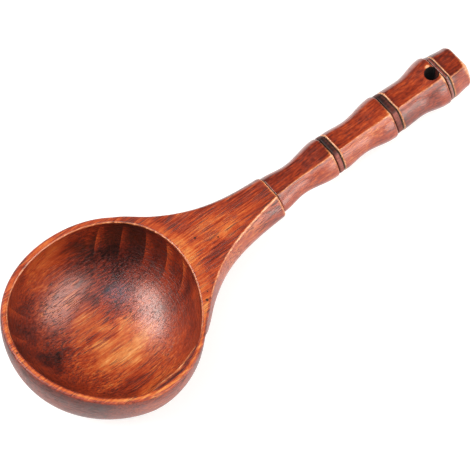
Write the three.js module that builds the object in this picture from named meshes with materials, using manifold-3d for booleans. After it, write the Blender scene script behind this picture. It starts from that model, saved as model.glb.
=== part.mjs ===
// A wooden sauna ladle: a deep bowl on a flared neck, and a grip carved like a bamboo cane.
// The ladle is drawn with its rim in the plane z = 0, its bowl on the z axis and its grip along +x,
// and is then laid down as it rests, on the foot of the bowl and the end of the grip.
import * as THREE from "three";
import { mergeVertices } from "three/addons/utils/BufferGeometryUtils.js";
import Module from "manifold-3d";

const wasm = await Module();
wasm.setup();

// Bowl, in millimetres: the wall bulges a little below the rim, then rounds in to the bottom
const rimRadius = 64.2;
const bulgeRadius = 65;
const bulgeDepth = 8;
const bowlDepth = 58;
const bowlFullness = 2.6;
const cavityRadius = 60;
const cavityDepth = 48.5;
const cavityFullness = 2.3;

// Neck: flat on top in the plane of the rim, rounded below, narrowing from the bowl to its lip
const neckReach = 134;
const neckHalfWidth = 14.5;
const neckHalfHeight = 10;
const neckFlareStart = 45;
const neckFlareLength = 29;
const neckFlarePower = 1.15;
const neckFlank = 7.6;
const bowlFlank = 3.4;
const keelFlareLength = 28;
const keelHalfWidth = 7;
const lipRound = 1.2;

// Grip: its axis lies below the rim, and each cane section has a start, a waist and a flared end
const axisDepth = 10;
const gripFlatness = 0.79;
const facetShare = 0.48;
const waistAt = 0.42;
const edgeRound = 1.4;
const firstSection = { name: "grip_section_1", length: 46.5, start: 13.7, waist: 11.4, end: 14.8 };
const middleSection = { name: "grip_section_2", length: 43.9, start: 14.2, waist: 12.7, end: 15.7 };
const lastSection = { name: "grip_section_3", length: 38.9, start: 14.9, waist: 14.2, end: 17.4 };
const sections = [firstSection, middleSection, lastSection];
const firstRing = { name: "node_ring_1", width: 4.5, halfWidth: 14.0 };
const middleRing = { name: "node_ring_2", width: 5.3, halfWidth: 14.8 };
const lastRing = { name: "node_ring_3", width: 2.8, halfWidth: 16.7 };
const rings = [firstRing, middleRing, lastRing];
const endPiece = { length: 15.6, start: 16.9, end: 15.8 };

// Joinery: a dowel through the grip, a spigot that carries the end piece, and a thin glue line
const glueLine = 0.3;
const dowelRadius = 5;
const neckSocketDepth = 36;
const sectionSocketDepth = 18;
const spigotRadius = 8;
const spigotReach = 8;

// Hanging hole, drilled through the glued grip so close to the last ring that it nicks it
const hangHoleRadius = 5;
const hangHoleInset = 3.6;

// Flats sanded where the ladle stands on a table, under the bowl and under the end of the grip
const footCut = 1.2;
const endCut = 0.7;

// Facets
const bowlSides = 72;
const profileSteps = 14;
const flankSteps = 7;
const boreSides = 24;
const neckSteps = 16;
const gripSteps = 12;
const ridgeAngle = THREE.MathUtils.degToRad(35);

const stainedWood = new THREE.MeshStandardMaterial({ color: 0x8a3d20, roughness: 0.4, metalness: 0 });
const darkWood = new THREE.MeshStandardMaterial({ color: 0x2e1712, roughness: 0.35, metalness: 0 });
const brownWood = new THREE.MeshStandardMaterial({ color: 0x74392a, roughness: 0.4, metalness: 0 });
const bareWood = new THREE.MeshStandardMaterial({ color: 0xc79a66, roughness: 0.7, metalness: 0 });

// Geometry to solid and back
function solid(geometry) {
  const bare = new THREE.BufferGeometry();
  bare.setAttribute("position", geometry.getAttribute("position"));
  bare.setIndex(geometry.getIndex());
  const merged = mergeVertices(bare, 1e-4);
  const vertProperties = new Float32Array(merged.getAttribute("position").array);
  const triVerts = new Uint32Array(merged.getIndex().array);
  return new wasm.Manifold(new wasm.Mesh({ numProp: 3, vertProperties, triVerts }));
}

function piece(name, shape, material) {
  const made = shape.getMesh();
  const geometry = new THREE.BufferGeometry();
  geometry.setAttribute("position", new THREE.BufferAttribute(made.vertProperties, 3));
  geometry.setIndex(new THREE.BufferAttribute(made.triVerts, 1));
  geometry.computeVertexNormals();
  const mesh = new THREE.Mesh(geometry, material);
  mesh.name = name;
  return mesh;
}

// A revolved profile, its points [radius, height] listed from the bottom up
function revolve(points) {
  const profile = points.map(([radius, height]) => new THREE.Vector2(radius, height));
  return new THREE.LatheGeometry(profile, bowlSides).rotateX(Math.PI / 2);
}

// A round bar along x from one end to the other, on the grip's axis
function bar(radius, from, to) {
  return new THREE.CylinderGeometry(radius, radius, to - from, boreSides)
    .rotateZ(-Math.PI / 2)
    .translate((from + to) / 2, 0, -axisDepth);
}

// One cross-section: a flat top facet, flanks that leave it at a ridge, and a flat underside
function crossSection({ x, topHalf, half, bottomHalf, top, middle, bottom }) {
  const ring = [];
  const span = Math.PI - 2 * ridgeAngle;
  for (let i = 0; i <= flankSteps; i++) {
    const turn = ridgeAngle + (span * i) / flankSteps;
    const inner = turn < Math.PI / 2 ? topHalf : bottomHalf;
    const reach = turn < Math.PI / 2 ? top - middle : middle - bottom;
    const swell = (Math.sin(turn) - Math.sin(ridgeAngle)) / (1 - Math.sin(ridgeAngle));
    const rise = Math.cos(turn) / Math.cos(ridgeAngle);
    ring.push([x, -(inner + (half - inner) * swell), middle + reach * rise]);
  }
  const mirrored = ring.map(([along, across, up]) => [along, -across, up]).reverse();
  return ring.concat(mirrored);
}

// A skin through cross-sections in order of x, closed by a flat cap at each end
function loft(stations) {
  const outlines = stations.map(crossSection);
  const count = outlines[0].length;
  const index = [];
  for (let i = 0; i + 1 < outlines.length; i++) {
    for (let j = 0; j < count; j++) {
      const next = (j + 1) % count;
      const a = i * count + j;
      const b = i * count + next;
      index.push(a, b, b + count, a, b + count, a + count);
    }
  }
  const last = (outlines.length - 1) * count;
  for (let j = 1; j + 1 < count; j++) {
    index.push(0, j + 1, j);
    index.push(last, last + j, last + j + 1);
  }
  const geometry = new THREE.BufferGeometry();
  geometry.setAttribute("position", new THREE.Float32BufferAttribute(outlines.flat(2), 3));
  geometry.setIndex(index);
  return geometry;
}

// A station of the grip, whose height and top facet follow from its half width
function gripStation(x, half) {
  const height = half * gripFlatness;
  return {
    x,
    half,
    topHalf: half * facetShare,
    bottomHalf: half * facetShare,
    top: height - axisDepth,
    middle: -axisDepth,
    bottom: -height - axisDepth,
  };
}

const ease = (share) => (1 - Math.cos(Math.PI * share)) / 2;

// Half width along a cane section: eased from its start in to the waist, and out to its flared end
function caneHalfWidth({ start, waist, end }, share) {
  if (share < waistAt) return start + (waist - start) * ease(share / waistAt);
  return waist + (end - waist) * ease((share - waistAt) / (1 - waistAt));
}

// Stations from one end of a grip piece to the other, with its far edge rounded over
function gripStations(from, length, halfWidthAt) {
  const stations = [];
  for (let i = 0; i <= gripSteps; i++) {
    const share = i / gripSteps;
    stations.push(gripStation(from + (length - edgeRound) * share, halfWidthAt(share)));
  }
  const end = halfWidthAt(1);
  for (const turn of [Math.PI / 6, Math.PI / 3, Math.PI / 2]) {
    const along = from + length - edgeRound + edgeRound * Math.sin(turn);
    stations.push(gripStation(along, end - edgeRound * (1 - Math.cos(turn))));
  }
  return stations;
}

// Bowl: profiles of the outer wall and of the cavity
function bowlRadiusAt(depth) {
  if (depth < bulgeDepth) {
    return bulgeRadius - (bulgeRadius - rimRadius) * ((bulgeDepth - depth) / bulgeDepth) ** 2;
  }
  const share = (depth - bulgeDepth) / (bowlDepth - bulgeDepth);
  return bulgeRadius * (1 - share ** bowlFullness) ** (1 / bowlFullness);
}

function bowlDepthAt(radius) {
  const share = (1 - (radius / bulgeRadius) ** bowlFullness) ** (1 / bowlFullness);
  return bulgeDepth + (bowlDepth - bulgeDepth) * share;
}

// A quarter of a superellipse from the axis below out to its full radius, as [radius, height]
function fullQuarter(radius, depth, fullness, below) {
  const points = [];
  for (let i = 0; i <= profileSteps; i++) {
    const turn = (Math.PI / 2) * (i / profileSteps);
    const across = radius * Math.sin(turn) ** (2 / fullness);
    const down = depth * Math.cos(turn) ** (2 / fullness);
    points.push([i === 0 ? 0 : across, -(below + (i === profileSteps ? 0 : down))]);
  }
  return points;
}

function bowlProfile() {
  const wall = fullQuarter(bulgeRadius, bowlDepth - bulgeDepth, bowlFullness, bulgeDepth);
  const shoulder = [bulgeDepth / 2, 0].map((depth) => [bowlRadiusAt(depth), -depth]);
  return [...wall, ...shoulder, [0, 0]];
}

function cavityProfile() {
  const wall = fullQuarter(cavityRadius, cavityDepth, cavityFullness, 0);
  const clearAbove = bulgeDepth;
  return [...wall, [cavityRadius, clearAbove], [0, clearAbove]];
}

// Neck: half widths and depth fall off along x from the bowl to the lip
function neckStation(x) {
  const chord = (radius) => Math.sqrt(Math.max(radius ** 2 - x ** 2, 0));
  const fromBowl = Math.max(x - neckFlareStart, 0);
  const rootHalf = Math.sqrt(bulgeRadius ** 2 - neckFlareStart ** 2);
  const fall = Math.exp(-((fromBowl / neckFlareLength) ** neckFlarePower));
  const along = fromBowl / (neckReach - neckFlareStart);
  const inBowl = x < neckFlareStart;
  const half = inBowl ? chord(bulgeRadius) : neckHalfWidth + (rootHalf - neckHalfWidth) * fall;
  const flank = bowlFlank + (neckFlank - bowlFlank) * along;
  const rootDepth = bowlDepthAt(neckFlareStart);
  const keelFall = Math.exp(-fromBowl / keelFlareLength);
  const lipDepth = axisDepth + neckHalfHeight;
  const depth = inBowl ? bowlDepthAt(x) : lipDepth + (rootDepth - lipDepth) * keelFall;
  const inset = inBowl ? glueLine : 0;
  return {
    x,
    half: half - inset,
    topHalf: half - flank,
    bottomHalf: keelHalfWidth,
    top: 0,
    middle: -axisDepth,
    bottom: -(depth - inset),
  };
}

function neckStations() {
  const root = neckFlareStart / 2;
  const straight = neckReach - lipRound;
  const stations = [];
  for (let i = 0; i <= neckSteps; i++) {
    stations.push(neckStation(root + ((straight - root) * i) / neckSteps));
  }
  const lip = stations[stations.length - 1];
  for (const turn of [Math.PI / 4, Math.PI / 2]) {
    const drop = lipRound * (1 - Math.cos(turn));
    stations.push({
      ...lip,
      x: straight + lipRound * Math.sin(turn),
      half: lip.half - drop,
      top: lip.top - drop,
      bottom: lip.bottom + drop,
    });
  }
  return stations;
}

// Places along the grip, one piece after another with a glue line between
const starts = {};
let along = neckReach + glueLine;
sections.forEach((section, i) => {
  starts[section.name] = along;
  starts[rings[i].name] = along + section.length + glueLine;
  along += section.length + rings[i].width + 2 * glueLine;
});
const endStart = along;
const gripReach = endStart + endPiece.length;
const lastFace = starts[lastSection.name] + lastSection.length;
const dowelFrom = neckReach - neckSocketDepth + glueLine;
const dowelTo = starts[lastSection.name] + sectionSocketDepth - glueLine;
const spigotTo = endStart + spigotReach;

// Rest: the tilt at which the bowl's foot and the underside of the grip's end meet one table
const bowlOutline = bowlProfile();
const endUnderside = axisDepth + (endPiece.end - edgeRound) * gripFlatness;

function lowestOfBowl(tilt) {
  const heights = bowlOutline.map(([radius, height]) => height * Math.cos(tilt) - radius * Math.sin(tilt));
  const height = Math.min(...heights);
  return { height, point: bowlOutline[heights.indexOf(height)] };
}

function restTilt() {
  let low = 0;
  let high = Math.PI / 4;
  const halvings = 60;
  for (let i = 0; i < halvings; i++) {
    const tilt = (low + high) / 2;
    const endHeight = -endUnderside * Math.cos(tilt) - gripReach * Math.sin(tilt);
    if (endHeight + endCut > lowestOfBowl(tilt).height + footCut) low = tilt;
    else high = tilt;
  }
  return (low + high) / 2;
}

const tilt = restTilt();
const foot = lowestOfBowl(tilt);
const ladle = new THREE.Group();
ladle.rotation.y = tilt;
ladle.position.x = -(foot.point[0] * Math.cos(tilt) + foot.point[1] * Math.sin(tilt));
ladle.position.z = -(foot.height + footCut);
ladle.updateMatrixWorld(true);

// What lies below the table, in the ladle's own frame
const tableThickness = bowlDepth;
const table = solid(
  new THREE.BoxGeometry(4 * gripReach, 4 * bulgeRadius, tableThickness)
    .translate(0, 0, -tableThickness / 2)
    .applyMatrix4(ladle.matrixWorld.clone().invert()),
);

// Bores and the hanging hole
const dowelBoreRadius = dowelRadius + glueLine;
const dowelBoreTo = starts[lastSection.name] + sectionSocketDepth;
const dowelBore = solid(bar(dowelBoreRadius, neckReach - neckSocketDepth, dowelBoreTo));
const spigotBore = solid(bar(spigotRadius + glueLine, lastFace, spigotTo + glueLine));
const spigot = solid(bar(spigotRadius, lastFace - edgeRound, spigotTo));
const hangHole = solid(
  new THREE.CylinderGeometry(hangHoleRadius, hangHoleRadius, 4 * lastSection.end, boreSides)
    .rotateX(Math.PI / 2)
    .translate(lastFace - hangHoleInset, 0, -axisDepth),
);

// Pieces, from the bowl to the end of the grip
const head = solid(revolve(bowlOutline))
  .add(solid(loft(neckStations())))
  .subtract(solid(revolve(cavityProfile())))
  .subtract(dowelBore)
  .subtract(table);
ladle.add(piece("ladle_head", head, stainedWood));
ladle.add(piece("core_dowel", solid(bar(dowelRadius, dowelFrom, dowelTo)), bareWood));

for (const section of sections) {
  const stations = gripStations(starts[section.name], section.length, (share) => caneHalfWidth(section, share));
  const cane = solid(loft(stations)).subtract(dowelBore).subtract(table);
  const shape = section === lastSection ? cane.add(spigot).subtract(hangHole) : cane;
  ladle.add(piece(section.name, shape, stainedWood));
}

for (const ring of rings) {
  const from = starts[ring.name];
  const band = loft([gripStation(from, ring.halfWidth), gripStation(from + ring.width, ring.halfWidth)]);
  const bore = ring === lastRing ? spigotBore : dowelBore;
  const shape = solid(band).subtract(bore).subtract(hangHole).subtract(table);
  ladle.add(piece(ring.name, shape, ring === lastRing ? brownWood : darkWood));
}

const endWidthAt = (share) => endPiece.start + (endPiece.end - endPiece.start) * ease(share);
const gripEnd = solid(loft(gripStations(endStart, endPiece.length, endWidthAt)))
  .subtract(spigotBore)
  .subtract(table);
ladle.add(piece("grip_end", gripEnd, stainedWood));

const saunaLadle = new THREE.Group();
saunaLadle.add(ladle);

export default saunaLadle;
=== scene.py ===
"""Looks of a carved wooden sauna ladle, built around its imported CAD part.

Shapes are worked out in the ladle's own frame, in millimetres: the rim lies in the plane z = 0, the
bowl hangs below it on the z axis and the grip runs along +x. place() then lays them down as the part
rests.
"""

import math

import bmesh
import bpy
import numpy as np
from mathutils import Matrix


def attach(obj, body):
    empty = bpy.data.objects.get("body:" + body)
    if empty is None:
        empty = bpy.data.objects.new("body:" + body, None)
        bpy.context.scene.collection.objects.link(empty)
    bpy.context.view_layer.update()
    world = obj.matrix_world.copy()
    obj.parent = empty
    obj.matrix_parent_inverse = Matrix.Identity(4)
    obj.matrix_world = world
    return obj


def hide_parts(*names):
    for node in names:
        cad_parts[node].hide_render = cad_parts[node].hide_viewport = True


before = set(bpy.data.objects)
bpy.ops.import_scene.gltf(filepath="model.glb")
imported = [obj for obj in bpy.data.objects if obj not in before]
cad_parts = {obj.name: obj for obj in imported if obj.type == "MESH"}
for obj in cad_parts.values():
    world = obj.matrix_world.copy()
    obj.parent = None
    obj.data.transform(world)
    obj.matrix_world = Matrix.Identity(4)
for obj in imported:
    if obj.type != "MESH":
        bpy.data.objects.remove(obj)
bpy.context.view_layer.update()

# Bowl, in millimetres
RIM_RADIUS = 64.0
BULGE_RADIUS = 65.0
BULGE_DEPTH = 8.0
BOWL_DEPTH = 57.8
BOWL_FULLNESS = 2.6
CAVITY_RADIUS = 60.0
CAVITY_DEPTH = 48.5
CAVITY_FULLNESS = 2.3
OUT_OF_ROUND = (-1.7, 1.9)
OUT_OF_ROUND_FADE = 40.0
# Lobes of the bowl's wall: bearing of the middle, spread, height, and the share left at the rim
BOWL_LOBES = {
    "near_belly": (math.radians(197), math.radians(28), 1.0, 0.0),
    "left_shoulder": (math.radians(100), math.radians(35), 0.6, 1.0),
    "right_flat": (math.radians(-60), math.radians(20), -1.2, 0.2),
    "right_hollow": (math.radians(-49), math.radians(11), -1.0, 0.2),
    "right_corner": (math.radians(-98), math.radians(12), 0.6, 0.3),
}
CRESCENT_MIDDLE = math.radians(-81)
CRESCENT_REACH = math.radians(24)
CRESCENT_DEPTH = 2.8
CRESCENT_FULL = 0.8
CRESCENT_TONE = -0.16

# Neck
NECK_REACH = 134.0
NECK_HALF_WIDTH = 14.5
NECK_FLARE_START = 45.0
NECK_FLARE_LENGTH = 31.5
NECK_FLARE_POWER = 1.3
NECK_ROOT_INSET = 2.0
NECK_FLANK = 7.6
BOWL_FLANK = 2.0
FLANK_POWER = 1.8
NECK_HALF_HEIGHT = 10.0
KEEL_FLARE_LENGTH = 28.0
KEEL_FULLNESS = 2.5
NECK_SHIFT = 1.6
NECK_LEAN = 1.0
NECK_LEAN_AT = 70.0
NECK_LEAN_REACH = 35.0
JUNCTION_ROUND = 5.0
RIDGE_ROUND = 1.3
LIP_ROUND = 1.2

# Wear of the head's edges, as millimetres of distance from an edge that is fully worn
RIDGE_WORN = -0.15
UNWORN = 1.4
LIP_UNWORN = 0.15
LIP_BAND_RIGHT = 0.6
LIP_FACE_UNWORN = 4.0
INNER_UNWORN = 0.2
RIM_UNWORN = 1.0
RIM_WORN_FROM = math.radians(-50)
RIM_WORN_SWEEP = math.radians(205)
RIM_WEAR_FADE = 0.4

# Grip
AXIS_DEPTH = 10.0
GRIP_FLATNESS = 0.79
LEFT_FACET = 0.6
RIGHT_FACET = 0.4
RIGHT_FLATNESS = 0.55
UNDER_FACET = 0.48
RIDGE_PASSES = 2
LEFT_RIDGE_PASSES = 14
WAIST_AT = 0.42
RIDGE_ANGLE = math.radians(35)
START_ROUND = 0.8
END_ROUND = 1.6
RING_ROUND = 1.3
LAST_ROUND = 2.6
GLUE_LINE = 0.3
NECK_SOCKET_DEPTH = 36.0
LAST_SOCKET_DEPTH = 18.0

# Grip pieces: length, half widths at the start, waist and end, and shift to the left. Some have a
# start that is sunk below the neck's lip, a right facet of their own, or a rubbed end. The steps of
# tone are over the whole piece, painted light on its right flank, and over the blackened top of a
# ring.
SECTIONS = {
    "grip_section_1": dict(
        length=46.5, start=13.7, waist=11.4, end=14.7, left=0.5,
        sunk=1.6, tone=-0.12, flank=0.15,
    ),
    "grip_section_2": dict(
        length=43.9, start=14.2, waist=12.9, end=16.1, left=0.35,
        tone=-0.06, flank=0.08,
    ),
    "grip_section_3": dict(
        length=38.9, start=15.1, waist=14.6, end=18.2, left=0.2,
        tone=-0.1, flank=0.02,
    ),
}
RINGS = {
    "node_ring_1": dict(
        length=4.5, start=14.1, end=14.1, left=0.5,
        black=0.28, flank=0.18,
    ),
    "node_ring_2": dict(
        length=5.3, start=15.0, end=15.0, left=0.4,
        black=0.3, flank=0.18,
    ),
    "node_ring_3": dict(
        length=2.8, start=17.0, end=17.0, left=-0.3,
        facet=0.46, black=0.06, flank=0.06,
    ),
}
END = dict(
    length=15.6, start=16.7, end=15.5, left=-0.6,
    facet=0.54, rubbed=0.5, tone=-0.13, flank=0.11,
)

# Hanging hole
HOLE_RADIUS = 5.0
HOLE_INSET = 4.8
HOLE_LEFT = -0.2
HOLE_SIDES = 64
HOLE_FOOT = -30.5
HOLE_HEAD = 12.0
# Step of painted shade that blackens the hanging hole's wall
BORE_PAINTED_SHADE = 1.5
BORE_SKIN = 0.05
BORE_MOUTH = 0.2

# Wear of the grip's edges, as for the head's. The band at an end is a share of the distance from it,
# on the right, and what the left flank adds to that.
CANE_RIDGE_UNWORN = 0.25
CANE_RIDGE_WEAR = 0.3
CANE_RIDGE_WEAR_REACH = 8.0
CANE_START_WORN = -0.1
CANE_END_UNWORN = 0.35
CANE_END_BAND = (0.45, 0.1)
CANE_CORNER_WEAR = 0.9
CANE_CORNER = 4.0
CHIP_SIZE = 1.4
CHIP_AHEAD = 1.0
CHIP_ASIDE = 0.8
HIDDEN = 9.0

# Grid densities
BOWL_LINES = 96
NECK_LINES = 64
COLLAR_LINE = 34
LOWER_STEPS = 40
FLANK_STEPS = 12
EDGE_STEPS = 6
ACROSS_STEPS = 48
BODY_STEPS = 60
LIP_FACES = np.array([0.8, 0.4, 0.0])
CANE_FACES = np.array([0.75, 0.4, 0.0])
COLLAR_SHARES = np.array([0, 0.04, 0.1, 0.2, 0.35, 0.5, 0.65, 0.8, 0.9, 0.96, 1])
BELOW_CRESCENT = np.array([0.25, 0.7, 1.4])
LAST_BOWL_BEARING = math.radians(50)
NECK_SQUARE_FROM = 0.8
CLIMB_POWER = 0.7
SHARP_ANGLE = math.radians(50)

MM = 0.001
WELD = 1e-7
SLIVER = 1e-8

# Soft patches of darker and paler tone on the head, in the ladle's own frame: middle, reach and
# step of tone of each patch
HEAD_TONE_PATCHES = {
    "far_wall": ((40, 40, -17), (26, 22, 22), -0.22),
    "far_floor": ((30, 38, -32), (20, 14, 8), -0.13),
    "near_stain": ((-39, 8, -39), (10, 8, 7), -0.24),
    "near_stain_tail": ((-30, 4, -43), (11, 7, 6), -0.16),
    "near_left": ((-21, 21, -44), (15, 7, 8), -0.15),
    "middle": ((12, 12, -47), (10, 8, 8), -0.1),
    "dented_floor": ((27, 20, -42), (12, 12, 8), -0.09),
    "left_band": ((16, 33, -41), (12, 11, 9), -0.14),
    "near_rim": ((-52, -14, -24), (10, 16, 12), -0.14),
    "left_edge": ((-37, 35, -28), (12, 13, 12), -0.15),
    "low_right": ((-12, -38, -38), (18, 9, 8), -0.2),
    "left_gold": ((2, 57, -16), (14, 6, 8), 0.09),
    "under_rim": ((-25, -50, -16), (36, 14, 12), -0.2),
    "right_floor": ((18, -32, -40), (32, 18, 14), 0.09),
    "right_wall": ((48, -14, -28), (14, 22, 12), 0.06),
    "left_wall": ((-12, 55, -20), (30, 9, 14), 0.16),
    "far_left_wall": ((15, 51, -24), (15, 10, 12), -0.2),
    "gold_line": ((-10, 58, -6), (34, 5, 5), 0.16),
    "gold_strip": ((60, -3, -8), (6, 19, 7), 0.14),
    "right_edge": ((53, -30, -12), (8, 16, 9), 0.23),
    "sapwood": ((6, -9, -48), (27, 14, 9), 0.26),
    "sapwood_lobe": ((-4, 16, -47), (20, 8, 8), 0.2),
    "sapwood_gap": ((-1, 4, -48), (13, 3.5, 6), -0.13),
    "neck_gold": ((87, 2, 0), (24, 12, 7), 0.11),
    "neck_root": ((60, -27, 0), (9, 7, 5), -0.1),
    "neck_maroon": ((65, 23, 0), (11, 5, 5), -0.1),
    "neck_streak": ((86, -13, 0), (18, 5, 4), -0.17),
    "neck_lip": ((118, 3, 0), (28, 18, 8), -0.09),
}
FIGURE_WANDER = 2.2
FIGURE_WAVE = 3.5
FIGURE_EDGE = 1.4
FIGURE_FADE = 0.9
RIM_TONE = 0.17
RIM_TONE_LEAN = 0.06

# Steps of tone on the head's outside: painted shade under the rim and on the bowl's right,
# a painted reflection of the floor low on the near side, and painted light on the neck's right flank
UNDER_RIM_PAINTED_SHADE = -0.04
LOW_HULL_PAINTED_REFLECTION = 0.08
RIGHT_HULL_PAINTED_SHADE = -0.1
RIGHT_FLANK_PAINTED_LIGHT = 0.12
LIP_FLANK_TONE = -0.2
LEFT_FLANK_TONE = -0.14

# Pin knots: place and size
KNOTS = {
    (73.9, 3.5, 0.0): 1.1,
    (85.7, -5.0, 0.0): 0.8,
    (52.6, -35.0, 0.0): 1.3,
    (56.5, -30.5, 0.0): 0.7,
    (-61.5, 9.6, 0.0): 0.8,
}

# Strokes of the gouge down the bowl's walls. Each set has the bearing of its first ridge at the rim,
# the width of a stroke, which is negative where the strokes run clockwise, the bearing that its
# ridges fan out from, its number of strokes, and the tones of painted light just past a ridge and of
# painted shade before the next one
GOUGE_SETS = {
    "far_wall": (math.radians(54.9), math.radians(-13.6), math.radians(34), 5, 0.32, -0.05),
    "near_wall": (math.radians(139), math.radians(14), math.radians(157), 3, 0.14, -0.07),
}
GOUGE_FAN = 0.011
GOUGE_RELIEF = 0.25
GOUGE_FROM = 2.0
GOUGE_TO = 33.0

# Dents near the middle of the bowl's floor
DENTS_MIDDLE = (25, 21, -42)
DENTS_REACH = 13
DENT_LEVEL = 0.5
DENT_WIDTH = 0.035
DENT_TONE = -0.22
DENT_DEPTH = -3.0

# Patterns of the wood: millimetres along the grain, across it and deep, and the noise's detail. Real
# fibres and pores are about 0.1 mm wide. They are drawn as coarse as they need to show.
GRAINS = {
    "broad": (75, 10, 45, 3),
    "fibre": (17, 1.0, 1.2, 3),
    "pores": (15, 0.7, 0.8, 1),
    "end_pores": (6, 6, 0.8, 1),
    "pore_groups": (24, 7, 12, 2),
    "chips": (4, 1.5, 1.5, 2),
    "blotches": (3.5, 1.4, 1.4, 3),
    "dents": (4.5, 3.5, 3.5, 1),
    "torn": (1.5, 1.2, 1.2, 1),
}

# Where a mark is gone and where it is full: levels of noise or tone, or millimetres from an edge
PORE_SHOWS = (0.555, 0.62)
PORE_GROUP_SHOWS = (0.36, 0.5)
END_PORE_SHOWS = (0.52, 0.6)
END_GRAIN_SHOWS = (0.3, 0.85)
CUT_ACROSS_SHOWS = (0.45, 0.75)
TORN_SHOWS = (0.4, 0.55)
PALE_SHOWS = (0.0, 0.3)
THIN_STAIN_SHOWS = (1.65, 1.1)
BARE_EDGE_SHOWS = (1.1, 0.8)

# Strengths of the wood's marks
BROAD_STEP = 0.6
MIDDLE_TONE = 0.2
END_GRAIN_TONE = -0.2
END_GRAIN_STREAKS = 0.2
PALE_STREAKS = 0.4
END_PORES = 0.75
KNOT_STRENGTH = 0.95
RAGGED_EDGE = 1.5
FIBRE_SPREAD = (0.3, 0.7)
FIBRE_ROUGHNESS = 0.12
DULL_ROUGHNESS = 0.25
PORE_ROUGHNESS = 0.3
BUMP_STRENGTH = 0.38
BUMP_HEIGHT = 0.3
COAT_SMOOTHER = 0.08
LACQUER_IOR = 1.5

# Places along the grip, one piece after another with a glue line between
STARTS = {}
reach = NECK_REACH + GLUE_LINE
for section, ring in zip(SECTIONS, RINGS):
    STARTS[section] = reach
    STARTS[ring] = reach + SECTIONS[section]["length"] + GLUE_LINE
    reach = STARTS[ring] + RINGS[ring]["length"] + GLUE_LINE
STARTS["grip_end"] = reach
HOLE_X = STARTS["node_ring_3"] - GLUE_LINE - HOLE_INSET


def ladle_axes():
    """Directions and origin of the ladle's own frame in the row frame, from the dowel that lies on
    the grip's axis: its longest direction is the ladle's x, and its middle is a known distance
    along and below the rim."""
    dowel = np.array([v.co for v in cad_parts["core_dowel"].data.vertices])
    middle = (dowel.min(0) + dowel.max(0)) / 2
    along = np.linalg.svd(dowel - middle)[2][0]
    along = along * np.sign(along[0])
    across = np.array([0.0, 1.0, 0.0])
    up = np.cross(along, across)
    start = NECK_REACH - NECK_SOCKET_DEPTH + GLUE_LINE
    end = STARTS["grip_section_3"] + LAST_SOCKET_DEPTH - GLUE_LINE
    return np.array([along, across, up]), middle - MM * ((start + end) / 2 * along - AXIS_DEPTH * up)


AXES, ORIGIN = ladle_axes()


def place(points):
    """The ladle's own millimetres as metres in the row frame."""
    return ORIGIN + MM * np.asarray(points) @ AXES


def ease(share):
    """Half a cosine wave from 0 to 1."""
    return (1 - np.cos(np.pi * np.clip(share, 0, 1))) / 2


def past(value, start, fade):
    """0 up to a start, then half a cosine wave up to 1 over a fade."""
    return ease((value - start) / fade)


def soft_min(a, b, width):
    """The smaller of two fields, with a parabola that rounds the crease where they differ by less
    than width."""
    near = np.clip(width - np.abs(a - b), 0, None) / width
    return np.minimum(a, b) - near**2 * width / 4


def out_of_round(bearing):
    """How far the hand-carved rim stands outside a circle: a sine of the bearing plus one of three
    times it."""
    once, thrice = OUT_OF_ROUND
    return once * np.sin(bearing) + thrice * np.sin(3 * bearing)


def bowl_skin(x, y, z):
    """Negative inside the bowl, in about millimetres: below the bulge a superellipse of radius and
    depth, above it a wall that leans in to the rim as a parabola. The radius swells with the
    out-of-round rim, fading with depth, and with a bell curve of the bearing for each lobe, of
    which a share is left at the rim."""
    radius = np.hypot(x, y)
    bearing = np.arctan2(y, x)
    swell = out_of_round(bearing) * np.exp(np.minimum(z, 0) / OUT_OF_ROUND_FADE)
    below = np.clip(-BULGE_DEPTH - z, 0, None) / (BOWL_DEPTH - BULGE_DEPTH)
    above = np.clip(z + BULGE_DEPTH, 0, None) / BULGE_DEPTH
    for middle, spread, height, at_rim in BOWL_LOBES.values():
        away = np.mod(bearing - middle + np.pi, 2 * np.pi) - np.pi
        kept = 1 - (1 - at_rim) * np.minimum(above, 1) ** 2
        swell = swell + height * np.exp(-((away / spread) ** 2)) * kept
    wall = BULGE_RADIUS + swell - (BULGE_RADIUS - RIM_RADIUS) * above**2
    gauge = ((radius / wall) ** BOWL_FULLNESS + below**BOWL_FULLNESS) ** (1 / BOWL_FULLNESS)
    return (gauge - 1) * BOWL_DEPTH


def neck_half_width(x):
    """Half width of the neck: a stretched exponential from the bowl down to the lip."""
    root = math.sqrt(BULGE_RADIUS**2 - NECK_FLARE_START**2) - NECK_ROOT_INSET
    gone = np.clip(x - NECK_FLARE_START, 0, None) / NECK_FLARE_LENGTH
    return NECK_HALF_WIDTH + (root - NECK_HALF_WIDTH) * np.exp(-(gone**NECK_FLARE_POWER))


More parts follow.
